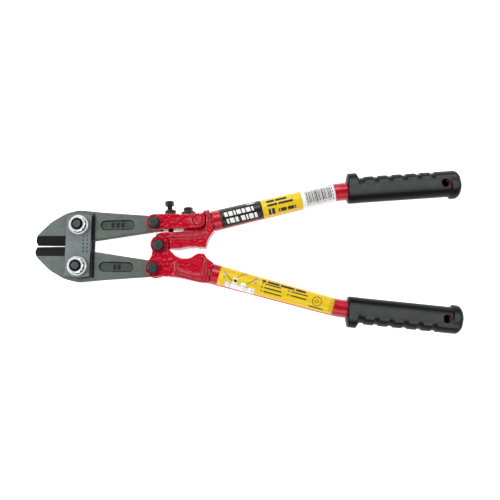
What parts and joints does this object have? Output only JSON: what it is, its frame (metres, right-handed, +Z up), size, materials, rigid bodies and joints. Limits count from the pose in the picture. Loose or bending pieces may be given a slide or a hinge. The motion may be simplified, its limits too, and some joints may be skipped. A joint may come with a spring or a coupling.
{
  "type": "bolt cutters",
  "caption": "Compact compound-lever bolt cutters with centre-cut steel jaws, forged red levers, an adjusting link, tube handles and ribbed rubber grips.",
  "frame": {"origin": "centre of the lower end of the main pivot bolt, which lies on the resting plane, on the axis of the main pivot", "axes": "+X from the jaws toward the grips, +Y toward the handle that carries the adjusting link, +Z up from the resting plane; the blades meet on the X axis"},
  "size_m": [0.3576, 0.1386, 0.0293],
  "materials": {
    "jaw_steel": "phosphated, dull grey-green",
    "strap_steel": "satin grey",
    "red_enamel": "glossy enamel over forged steel",
    "black_steel": "black oxide",
    "hex_steel": "dark grey, satin",
    "zinc_steel": "bright zinc plate",
    "black_rubber": "matt moulded rubber"
  },
  "bodies": {
    "lower_handle": {"lower_lever": "red_enamel", "lower_handle_tube": "red_enamel", "lower_grip": "black_rubber", "main_pivot_bolt": "hex_steel", "main_pivot_nut": "hex_steel", "lower_tail_bolt": "hex_steel", "lower_tail_nut": "hex_steel"},
    "upper_handle": {"upper_lever": "red_enamel", "upper_handle_tube": "red_enamel", "upper_grip": "black_rubber", "link_pivot_pin": "red_enamel", "clamp_bolt": "black_steel"},
    "link": {"adjusting_link": "red_enamel", "upper_tail_bolt": "hex_steel", "upper_tail_nut": "hex_steel", "adjusting_lock_nut": "black_steel"},
    "screw": {"adjusting_screw": "black_steel"},
    "lower_jaw_body": {"lower_jaw": "jaw_steel"},
    "straps": {"front_strap_plate": "strap_steel", "rear_strap_plate": "strap_steel", "upper_jaw_bolt": "black_steel", "lower_jaw_bolt": "black_steel", "upper_jaw_nut": "zinc_steel", "lower_jaw_nut": "zinc_steel"},
    "upper_jaw_body": {"upper_jaw": "jaw_steel"}
  },
  "joints": [
    {"name": "main_pivot", "type": "hinge", "parent": "lower_handle", "child": "upper_handle", "pos_m": [0, 0, 0.0128], "axis": [0, 0, 1], "range_deg": [-7.5, 83]},
    {"name": "lower_tail_pivot", "type": "hinge", "parent": "lower_handle", "child": "lower_jaw_body", "pos_m": [-0.00474, -0.01881, 0.0128], "axis": [0, 0, 1], "range_deg": [-5, 49]},
    {"name": "lower_strap_pivot", "type": "hinge", "parent": "lower_jaw_body", "child": "straps", "pos_m": [-0.06692, -0.01702, 0.0128], "axis": [0, 0, 1], "range_deg": [-7, 1]},
    {"name": "upper_strap_pivot", "type": "hinge", "parent": "straps", "child": "upper_jaw_body", "pos_m": [-0.06629, 0.01717, 0.0128], "axis": [0, 0, 1], "range_deg": [-7, 1]},
    {"name": "link_adjust", "type": "hinge", "parent": "upper_handle", "child": "link", "pos_m": [0.03206, 0.02117, 0.0128], "axis": [0, 0, 1], "range_deg": [-0.6, 0.4]},
    {"name": "screw_travel", "type": "slide", "parent": "link", "child": "screw", "axis": [-0.0532, 0.9986, 0], "range_m": [-0.0003, 0.0002]}
  ],
  "couplings": [
    {"joint": "lower_tail_pivot", "follows": "main_pivot", "ratio": 0.578},
    {"joint": "lower_strap_pivot", "follows": "main_pivot", "ratio": -0.078},
    {"joint": "upper_strap_pivot", "follows": "main_pivot", "ratio": -0.078},
    {"joint": "screw_travel", "follows": "link_adjust", "m_per_rad": 0.0233}
  ]
}
